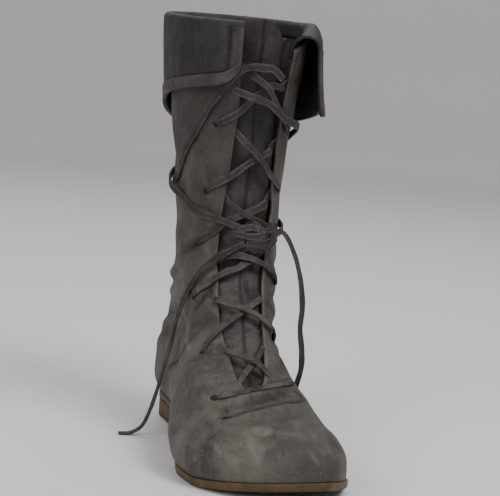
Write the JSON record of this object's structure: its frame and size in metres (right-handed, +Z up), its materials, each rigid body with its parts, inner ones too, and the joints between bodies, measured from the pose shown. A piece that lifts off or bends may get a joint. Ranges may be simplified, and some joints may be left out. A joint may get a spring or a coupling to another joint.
{
  "type": "medieval boot",
  "caption": "Front-laced medieval boot for the right foot: low stacked heel, open throat and tongue, turned-down cuff, and a long flat lace wound round the ankle.",
  "frame": {"origin": "centre of the heel's flat face on the floor", "axes": "+Z up along the leg, -Y toward the toe, +X toward the inner side of the foot"},
  "size_m": [0.1445, 0.2937, 0.3268],
  "materials": {
    "upper_leather": "worn satin",
    "cuff_leather": "satin",
    "tongue_leather": "matt",
    "sole_leather": "worn satin",
    "insole_leather": "matt",
    "lace_leather": "matt"
  },
  "bodies": {
    "root": {"outsole": "sole_leather", "heel_stack": "sole_leather", "heel_top_piece": "sole_leather", "insole": "insole_leather", "upper": "upper_leather", "backstay": "upper_leather", "cuff": "cuff_leather", "tongue": "tongue_leather", "lacing": "lace_leather", "lace_bar": "lace_leather", "lace_wrap_inner": "lace_leather", "lace_wrap_outer": "lace_leather", "lace_knot": "lace_leather", "lace_end_inner": "lace_leather", "lace_end_outer": "lace_leather"}
  },
  "joints": []
}
